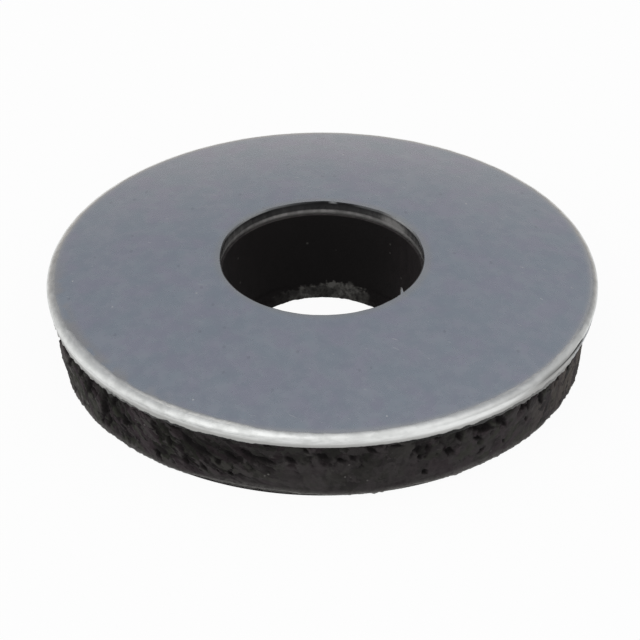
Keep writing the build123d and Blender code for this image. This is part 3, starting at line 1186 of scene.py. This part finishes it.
CRUMPLED = (
    (0, 0.8), (0.28, 1), (0.46, 1), (0.48, 0.55), (0.555, 0.5), (0.57, 0.85), (0.61, 0.9),
    (0.62, 0.6), (0.7, 0.6), (1, 0.8),
)
LIP_HANG = (
    (0, 0.2), (0.06, 0.4), (0.095, 1), (0.14, 0.5), (0.2, 0), (0.8, 0), (0.88, 1), (0.92, 0.9),
    (0.96, 0.3), (1, 0.2),
)
print(f"{len(TEARS)} larger tears placed by hand")

# %% [markdown]
# This rule is a chain of steps as well. All that takes rubber off the skirt is added up first
# and becomes one move towards the axis, because each further move would start from points that
# have already left their places and would tear them somewhere else.

# %% Tears of the skirt
TORN_GRAIN = (1, 1, 0.6)


def small_tears(tree, at, seed):
    """Streaks, blotches and chips, and the small tears where they add up, down from the steel."""
    along_tears = slanted(tree, at.position, at.turn, at.height, TEAR_SLANT)
    drawn_out = stretch(tree, along_tears, TORN_GRAIN)
    streaks = noise(tree, drawn_out, 0.28 * MM, seed, detail=4, roughness=0.6, distortion=0.8)
    raised = stretch(tree, at.position, (1, 1, 0.8))
    blotches = noise(tree, raised, 0.4 * MM, seed + 1, detail=4)
    chips = noise(tree, drawn_out, 0.1 * MM, seed + 4, detail=2) - 0.5
    reach = curve(tree, at.turn, TEAR_REACH)
    level = streaks * 0.8 + blotches * 0.5 + chips * 0.2 + (reach - at.down) * 0.6
    return streaks, blotches, chips, level.ramp(0.63, 0.73) * at.held


def tear_skirt(tree, ring, at, given):
    """Stores the tears for the finish. Returns the ring and how much rubber they take off."""
    streaks, blotches, chips, torn = small_tears(tree, at, given["Seed"])
    ragged_by = (streaks - 0.5) * 1.3 + (blotches - 0.5) * 0.6 + chips * 0.6
    flat = along_rim(tree, at.turn, at.down * RUBBER_DEPTH, 1)
    pits = deepest_tear(tree, given["Tears"], flat) + ragged_by
    gashes = pits.ramp(0.02, 0.32) * at.held
    for name, value in (
        ("torn", torn),
        ("gashes", gashes),
        ("pits", pits.ramp(-0.42, 0.15) * at.held),
        ("streaks", streaks * 0.6 + blotches * 0.4),
    ):
        ring = keep_as(tree, ring, name, value)
    relief = ((streaks - 0.5) * 0.6 + (blotches - 0.5) * 0.4 + chips * 0.3) * at.held
    relief = relief * (curve(tree, at.turn, CRUMPLED) * 0.8 + torn * 0.3)
    taken = relief * given["Relief"] + torn * (blotches + 0.5) * given["Tear depth"]
    return ring, taken + gashes * given["Gash depth"]


# %% Wear of the skirt and the heel
NOTCH_TURN = 0.28
NOTCH_SLOPE = 16.0


def wear_skirt(tree, taken, at, given):
    """Adds the undercut, the notch at the left and the worn heel to what is taken off."""
    eaten = at.down.ramp(0.85, 0.3) * at.skirt * curve(tree, at.turn, TOP_UNDERCUT)
    across_notch = at.down + (at.turn - NOTCH_TURN) * NOTCH_SLOPE
    notch = across_notch.ramp(0.08, 0.30) * across_notch.ramp(0.41, 0.37)
    notch = notch * at.skirt * curve(tree, at.turn, LEFT_NOTCH)
    nibbled = noise(tree, at.position, 0.5 * MM, given["Seed"] + 6, detail=3) - 0.5
    worn = curve(tree, at.turn, HEEL_WEAR) - 0.25 + nibbled * 0.5
    worn = worn * at.down.ramp(0.65, 0.97) * at.outside
    taken = taken + eaten * given["Undercut"] + notch * given["Notch depth"]
    return taken + worn * given["Heel wear"]


# %% Grit and rags
FRAY_AT_FOOT = 1.5


def grit_outside(tree, ring, at, given):
    """Grit and fine streaks all over the outside, more of them at the foot."""
    upright = stretch(tree, at.position, (1, 1, 0.2))
    fine = noise(tree, upright, 0.12 * MM, given["Seed"] + 2, detail=3) - 0.5
    grit = noise(tree, at.position, 0.12 * MM, given["Seed"] + 3, detail=4) - 0.5
    frayed = at.down.ramp(0.75, 0.95) * FRAY_AT_FOOT + 1.0
    grit = (grit + fine * 0.5) * given["Grit height"] * at.outside * frayed
    return moved_along_normal(tree, ring, grit)


def hang_lip(tree, ring, at, given):
    """The lip hangs in rags where the punch dragged it down."""
    hanging = band_mask(tree, "lip") + band_mask(tree, "throat")
    rags = noise(tree, at.position, 0.16 * MM, given["Seed"] + 5, detail=4) - 0.5
    rags = rags + curve(tree, at.turn, LIP_HANG) * 0.8
    return moved_along_normal(tree, ring, rags * given["Lip ragging"] * hanging)


# %% Rule for the rubber ring
HELD_TOP = (0.97, 0.85)


def rubber_rule(tears):
    """The tears and the wear on the swept ring, as a tree of Geometry Nodes."""
    tree, section, given = new_rule("torn rubber", {
        "Steps round": 1,
        "Sweep radius": 1.0,
        "Seed": 1.0,
        "Relief": 1.0,
        "Tear depth": 1.0,
        "Gash depth": 1.0,
        "Undercut": 1.0,
        "Notch depth": 1.0,
        "Grit height": 1.0,
        "Heel wear": 1.0,
        "Lip ragging": 1.0,
        "Tears": tears,
        "Material": rubber_finish,
    })
    ring = swept(tree, section, given["Sweep radius"], given["Steps round"])
    position = add_node(tree, "GeometryNodeInputPosition")
    _, _, height = components(tree, position)
    down = 1.0 - height / RUBBER_DEPTH
    skirt = band_mask(tree, "skirt")
    at = SimpleNamespace(
        position=position,
        turn=turn_about_axis(tree, position),
        height=height,
        down=down,
        skirt=skirt,
        outside=skirt + band_mask(tree, "heel"),
        held=skirt * down.ramp(*HELD_TOP),
    )
    ring, taken = tear_skirt(tree, ring, at, given)
    taken = wear_skirt(tree, taken, at, given)
    ring = moved_inwards(tree, ring, position, taken)
    ring = grit_outside(tree, ring, at, given)
    ring = hang_lip(tree, ring, at, given)
    ring = drift(tree, ring, position, rubber=True)
    finish_rule(tree, ring, given["Material"])
    return tree


# %% [markdown]
# ## The finish of the rubber
#
# Black rubber is close to black, and it is never one black. Torn rubber is dusty on its
# ridges and darker where it is freshly torn, and slightly brown, olive or plum from place to
# place. On top of that, shade is painted into its hollows and under the steel, light is painted
# onto its ridges in parts of the way round, and a painted highlight from the white table runs
# along the heel. One plain dark colour would flatten it into a hole, so the finish blends a
# dozen near blacks. Where a colour goes comes from the relief itself: the rule above left its
# `streaks`, `torn`, `pits` and `gashes` on the points, so that every painted dark patch lies in a
# real hollow. The roughness is high and the specular level is low, because dust scatters the
# light.

# %% The skirt's colours
RUBBER_DARK = (0.030, 0.0267, 0.0273, 1)
RUBBER_GREY = (0.047, 0.0425, 0.0425, 1)
RIDGE_DUST_AND_LIGHT = (0.120, 0.112, 0.108, 1)
RUBBER_OLIVE = (0.038, 0.041, 0.031, 1)
RUBBER_PLUM = (0.047, 0.036, 0.041, 1)
RUBBER_BROWN = (0.088, 0.076, 0.067, 1)
TORN_DARK_AND_SHADE = (0.0085, 0.0070, 0.0073, 1)
SHADED_RELIEF_ROUND = (
    (0, 0), (0.2, 0.8), (0.3, 1), (0.335, 0.8), (0.35, 0.3), (0.38, 0.4), (0.40, 0.3),
    (0.43, 0.2), (0.47, 0.1), (0.5, 0), (0.6, 0), (0.65, 0.2), (0.7, 0), (1, 0),
)
# How strongly shade is painted round the way, in the hollows and under the steel
PAINTED_SHADE_ROUND = (
    (0, 0.1), (0.28, 0.5), (0.30, 0.5), (0.33, 0.15), (0.345, 0.6), (0.36, 0.8), (0.38, 1),
    (0.395, 0.9), (0.41, 1.1), (0.425, 1.0), (0.44, 1), (0.455, 0.5), (0.475, 0.25), (0.5, 0.15),
    (0.515, 0.5), (0.53, 0.5), (0.545, 0.35), (0.565, 0.25), (0.58, 0.3), (0.59, 0.15),
    (0.64, 0.15), (0.66, 0.4), (0.71, 0.5), (1, 0.1),
)
TINTED = (
    (0, 0.5), (0.25, 0.8), (0.37, 1), (0.42, 0.7), (0.47, 0.4), (0.53, 0.3), (0.57, 0.7),
    (0.66, 0.9), (1, 0.5),
)

rubber_finish, tree, shader, place = new_finish("black rubber")
_, _, height = components(tree, place)
turn = turn_about_axis(tree, place)
down = 1.0 - height / RUBBER_DEPTH
streaks = bands_in_finish(tree, "streaks")

# Flat patches, large and small, lie along the way the rubber tore
drawn_out = stretch(tree, slanted(tree, place, turn, height, TEAR_SLANT), TORN_GRAIN)
crumpled = (noise(tree, place, 0.2 * MM, 13, detail=3) - 0.5) * 1.5
broad, hue = facets(tree, drawn_out, 0.34 * MM, crumpled)
narrow, _ = facets(tree, drawn_out, 0.15 * MM, crumpled)

# Dust on the ridges, with painted light and shade that follow the relief: ridges paler, hollows
# darker
dust = noise(tree, place, 0.2 * MM, 6, detail=4)
dust_and_shading = dust * 0.3 + (1.0 - streaks) * 0.4 + broad * 0.2 + narrow * 0.1
dust_and_shading = (dust_and_shading - 0.5) * curve(tree, turn, CRUMPLED) + 0.5
colour = blend_colours(tree, dust_and_shading.ramp(0.32, 0.56), RUBBER_DARK, RUBBER_GREY)
# In parts of the way round the ridges are painted paler still: painted light over some dust
shaded_relief = curve(tree, turn, SHADED_RELIEF_ROUND)
colour = blend_colours(tree, dust_and_shading.ramp(0.46, 0.57) * shaded_relief, colour, RIDGE_DUST_AND_LIGHT)

# Painted shade in the hollows and under the steel
painted_shade = curve(tree, turn, PAINTED_SHADE_ROUND) * down.ramp(0.95, 0.6, 0.75, 1.1)
painted_shade = painted_shade * dust_and_shading.ramp(0.58, 0.42, 0.3, 1.3)
colour = blend_colours(tree, painted_shade, colour, TORN_DARK_AND_SHADE)
shaded_hollows = dust_and_shading.ramp(0.44, 0.34) * (shaded_relief * 0.6 + 0.1)
colour = blend_colours(tree, shaded_hollows, colour, TORN_DARK_AND_SHADE)

# A lean to olive, plum or brown
tinted = noise(tree, place, 0.5 * MM, 7, detail=3) * 0.7 + hue * 0.3
vivid = curve(tree, turn, TINTED) * 0.6
colour = blend_colours(tree, tinted.ramp(0.53, 0.62) * vivid, colour, RUBBER_OLIVE)
colour = blend_colours(tree, tinted.ramp(0.47, 0.38) * vivid, colour, RUBBER_PLUM)
brown = turn.ramp(0.62, 0.7) * (dust * 0.4 + broad * 0.6).ramp(0.35, 0.6)
brown = brown * down.ramp(0.05, 0.35, 0.6, 1.0)
colour = blend_colours(tree, brown, colour, RUBBER_BROWN)
print_size(rubber_finish)

# %% The tears' colours
GASH_BLACK = (0.0075, 0.0065, 0.0067, 1)
TORN_GREY = (0.032, 0.029, 0.029, 1)
TORN_OLIVE = (0.017, 0.0185, 0.0145, 1)
TORN_PLUM = (0.020, 0.0135, 0.016, 1)

# A band of painted shade just below the steel darkens the torn rubber
shaded_band = stripe(down, 0.32, 0.44) * curve(tree, turn, PAINTED_SHADE_ROUND) * 0.25
scarred = broad * 0.4 + narrow * 0.2 + dust * 0.4 - shaded_band
scar = blend_colours(tree, scarred.ramp(0.25, 0.70), TORN_DARK_AND_SHADE, TORN_GREY)
scar = blend_colours(tree, tinted.ramp(0.53, 0.60) * 0.5, scar, TORN_OLIVE)
scar = blend_colours(tree, tinted.ramp(0.47, 0.40) * 0.5, scar, TORN_PLUM)
colour = blend_colours(tree, bands_in_finish(tree, "torn") * 0.9, colour, scar)
# The pits are darker and the gashes black: partly the dark of torn rubber, partly painted shade in
# these hollows
colour = blend_colours(tree, bands_in_finish(tree, "pits") * 0.82, colour, TORN_DARK_AND_SHADE)
colour = blend_colours(tree, bands_in_finish(tree, "gashes") * 0.8, colour, GASH_BLACK)
print_size(rubber_finish)

# %% The heel's colours
HEEL_GREY = (0.13, 0.125, 0.12, 1)
HEEL_PALE = (0.27, 0.265, 0.255, 1)
CRUMB_GREY = (0.20, 0.195, 0.185, 1)
PALE_HEEL = (
    (0, 0.5), (0.3, 0.6), (0.36, 0.7), (0.39, 0.3), (0.41, 0.1), (0.43, 0.3), (0.455, 0.6),
    (0.475, 0.3), (0.5, 0.2), (0.57, 0.3), (0.59, 0.7), (0.61, 0.7), (0.63, 0.4), (0.7, 0.4),
    (1, 0.5),
)

# A ragged grey band near the foot, and palest along it: painted light from the white table
outside = bands_in_finish(tree, "skirt", "heel")
frayed = noise(tree, place, 0.12 * MM, 9, detail=3)
tall = curve(tree, turn, PALE_HEEL) * (0.2 * MM)
low = (height + (frayed - 0.5) * (0.25 * MM) - tall).ramp(0.22 * MM, 0.02 * MM)
lit_heel_band = low * frayed.ramp(0.35, 0.6, 0.2, 0.7) * outside
colour = blend_colours(tree, lit_heel_band, colour, HEEL_GREY)
# Palest along the foot: a painted highlight from the white table
worn = (height + (frayed - 0.5) * (0.12 * MM)).ramp(0.12 * MM, 0.05 * MM)
colour = blend_colours(tree, worn * 0.6 * outside, colour, HEEL_PALE)

# A few crumbs all over, and a row of them at the front
crumbs = scattered(tree, place, 0.25 * MM, 0.08 * MM, 0.05)
crumb_row = stripe(height, 0.75 * MM, 0.7 * MM) * stripe(turn, 0.5, 0.16)
crumbs = crumbs + scattered(tree, place, 0.16 * MM, 0.07 * MM, 0.20) * crumb_row
colour = blend_colours(tree, crumbs * 0.4, colour, CRUMB_GREY)
print_size(rubber_finish)

# %% The underside's and the bore's colours
BORE_BLACK = (0.0092, 0.0083, 0.0083, 1)
BORE_GREY = (0.021, 0.0175, 0.018, 1)
LIP_GREY = (0.115, 0.112, 0.105, 1)
LIP_FUZZ = (
    (0, 0.8), (0.02, 0.6), (0.04, 0.4), (0.06, 0.3), (0.09, 0.2), (0.12, 0), (0.5, 0), (0.900, 0),
    (0.914, 0.4), (0.925, 0.9), (0.935, 1), (1, 0.8),
)
# Where the bore carries a painted sheen round the way
BORE_SHEEN_ROUND = (
    (0, 0), (0.1, 0.2), (0.18, 0.5), (0.25, 0.7), (0.5, 0.7), (0.7, 1), (0.78, 1), (0.86, 0.5),
    (0.92, 0.1), (1, 0),
)

# The flat underside keeps the plain skin of moulded rubber
inside = bands_in_finish(tree, "bore", "lip", "throat")
moulded = blend_colours(tree, dust.ramp(0.35, 0.65), RUBBER_DARK, RUBBER_GREY)
colour = blend_colours(tree, 1.0 - outside - inside, colour, moulded)

# The bore is black, with a painted sheen at the sides, a little lint and a crumbly lip
fuzz = noise(tree, place, 0.18 * MM, 5, detail=3)
fuzzy_part = curve(tree, turn, LIP_FUZZ)
lip_edge = (fuzz - 0.5) * (0.5 * MM) + fuzzy_part * (0.22 * MM)
fuzzy = (lip_edge - height).ramp(-0.28 * MM, -0.18 * MM) * fuzzy_part.ramp(0.0, 0.7)
lint = scattered(tree, place, 0.4 * MM, 0.09 * MM, 0.3)
ridges = noise(tree, place, 0.08 * MM, 11, detail=2).ramp(0.35, 0.65)
tufts = noise(tree, place, 0.3 * MM, 14, detail=2).ramp(0.42, 0.60, 0.6, 1.7)
crumbly = (fuzz.ramp(0.35, 0.65, 0.15, 0.6) + ridges * 0.3) * tufts
bore_sheen = curve(tree, turn, BORE_SHEEN_ROUND) * streaks.ramp(0.35, 0.65, 0.4, 1.2)
lining = blend_colours(tree, bore_sheen, BORE_BLACK, BORE_GREY)
lining = blend_colours(tree, fuzzy * crumbly + lint * 0.4, lining, LIP_GREY)
colour = blend_colours(tree, inside, colour, lining)
print_size(rubber_finish)

# %% Wire the rubber's shader
plug(tree, shader.inputs["Base Color"], colour)
shader.inputs["Roughness"].default_value = 0.75
shader.inputs["Specular IOR Level"].default_value = 0.08
grain = noise(tree, place, 0.06 * MM, 2, detail=3)
plug(tree, shader.inputs["Normal"], bump(tree, grain, 0.01 * MM))
print_size(rubber_finish)

# %% Make the rubber ring
tears = tear_points(TEARS)
rubber_seal = apply_rule(rubber_section, rubber_rule(tears), {
    "Steps round": 1024,
    "Sweep radius": (rim_radius + hole_radius) / 2,
    "Seed": 21.0,
    "Relief": 0.25 * MM,
    "Tear depth": 0.05 * MM,
    "Gash depth": 0.09 * MM,
    "Undercut": 0.09 * MM,
    "Notch depth": 0.23 * MM,
    "Grit height": 0.045 * MM,
    "Heel wear": 0.2 * MM,
    "Lip ragging": 0.06 * MM,
    "Tears": tears,
    "Material": rubber_finish,
})
bpy.data.objects.remove(tears)

# %% [markdown]
# ## Stage and light
#
# The washer lies on a plain white table. For the camera and for reflections the table is
# mostly its own white, with a little of the real light mixed in so that the washer's shadow
# stays. For everything else it is an ordinary white board, so it lifts the dark rubber from
# below as a real one would. It lies a hair below the rubber's flat face, because two faces in
# one plane would flicker where the washer is looked at from below.

# %% Table
TABLE_SIZE = 600 * MM
TABLE_DROP = 0.04 * MM
TABLE_WHITE = (0.85, 0.85, 0.85, 1)
OWN_WHITE = 0.95


def table_finish():
    """White to the camera and to mirrors, and an ordinary white board to all other light."""
    material = bpy.data.materials.new("white table")
    material.use_nodes = True
    tree = material.node_tree
    tree.nodes.clear()
    board = add_node(tree, "ShaderNodeBsdfDiffuse", {"Color": TABLE_WHITE})
    white = add_node(tree, "ShaderNodeEmission", {"Color": (1, 1, 1, 1), "Strength": 1.0})
    path = tree.nodes.new("ShaderNodeLightPath")
    seen = Field(tree, path.outputs["Is Camera Ray"])
    seen = seen.math("MAXIMUM", Field(tree, path.outputs["Is Glossy Ray"]))
    seen = seen.math("MAXIMUM", Field(tree, path.outputs["Is Transmission Ray"]))
    mixed = add_node(tree, "ShaderNodeMixShader", {0: seen * OWN_WHITE, 1: board, 2: white})
    leave = tree.nodes.new("ShaderNodeOutputMaterial")
    tree.links.new(mixed.socket, leave.inputs["Surface"])
    return material


table_mesh = bpy.data.meshes.new("table")
half = TABLE_SIZE / 2
square = ((-half, -half), (half, -half), (half, half), (-half, half))
corners = [(x, y, -TABLE_DROP) for x, y in square]
table_mesh.from_pydata(corners, [], [(0, 1, 2, 3)])
table_mesh.materials.append(table_finish())
table = bpy.data.objects.new("table", table_mesh)
bpy.context.scene.collection.objects.link(table)
print(f"table {TABLE_SIZE / MM:.0f} mm wide, {TABLE_DROP / MM:.2f} mm below the rubber")

# %% [markdown]
# A metal shows what stands round it more than its own colour, so the room matters. It is a
# bright tent with a grey screen behind the washer. The flat face looks at the screen and
# turns grey, and the rolled rim looks at the tent and turns white.

# %% World and lamps
TENT = (1.0, 1.0, 1.0, 1)
TENT_RIGHT = (0.62, 0.62, 0.62, 1)
SCREEN_LOW = (0.515, 0.475, 0.44, 1)
SCREEN_HIGH = (0.30, 0.305, 0.325, 1)
SCREEN_SIDES = (0.45, 0.9)
SCREEN_FRONT = (-0.2, 0.35)
SCREEN_HEIGHT = (0.02, 0.48)
LAMP_PLACE = (-200 * MM, -250 * MM, 350 * MM)
LAMP_SIZE = 400 * MM
LAMP_POWER = 0.2

world = bpy.data.worlds.new("studio")
bpy.context.scene.world = world
world.use_nodes = True
tree = world.node_tree
background = tree.nodes["Background"]
direction = add_node(tree, "ShaderNodeTexCoord", output=0)
side, back, up = components(tree, direction)
screen = side.math("ABSOLUTE").ramp(*SCREEN_SIDES, 1.0, 0.0) * back.ramp(*SCREEN_FRONT)
screen = screen * side.ramp(-0.1, 0.4, 1.0, 0.96)
tent = blend_colours(tree, side.ramp(0.5, 0.9), TENT, TENT_RIGHT)
grey = blend_colours(tree, up.ramp(*SCREEN_HEIGHT), SCREEN_LOW, SCREEN_HIGH)
plug(tree, background.inputs["Color"], blend_colours(tree, screen, tent, grey))
background.inputs["Strength"].default_value = 1.0


def area_lamp(name, place, size, power):
    """A square soft lamp that looks at the washer."""
    data = bpy.data.lights.new(name, "AREA")
    data.size = size
    data.energy = power
    lamp = bpy.data.objects.new(name, data)
    lamp.location = place
    lamp.rotation_euler = (-Vector(place)).to_track_quat("-Z", "Y").to_euler()
    bpy.context.scene.collection.objects.link(lamp)
    return lamp


key = area_lamp("key", LAMP_PLACE, LAMP_SIZE, LAMP_POWER)
bpy.context.scene.view_settings.view_transform = "Standard"
print(f"{key.name} lamp {key.location.length / MM:.0f} mm away, {LAMP_SIZE / MM:.0f} mm wide")

# %% [markdown]
# ## Hand the pieces to the frame
#
# Each piece rides on a body of the frame and stands in for the plain solid of the same name, which
# is hidden.

# %% Attach the pieces and hide the CAD solids
for piece, node, finish in (
    (metal_washer, "metal_washer", "zinc_plated_steel"),
    (rubber_seal, "rubber_seal", "black_rubber"),
):
    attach(piece, "root")
    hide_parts(node)
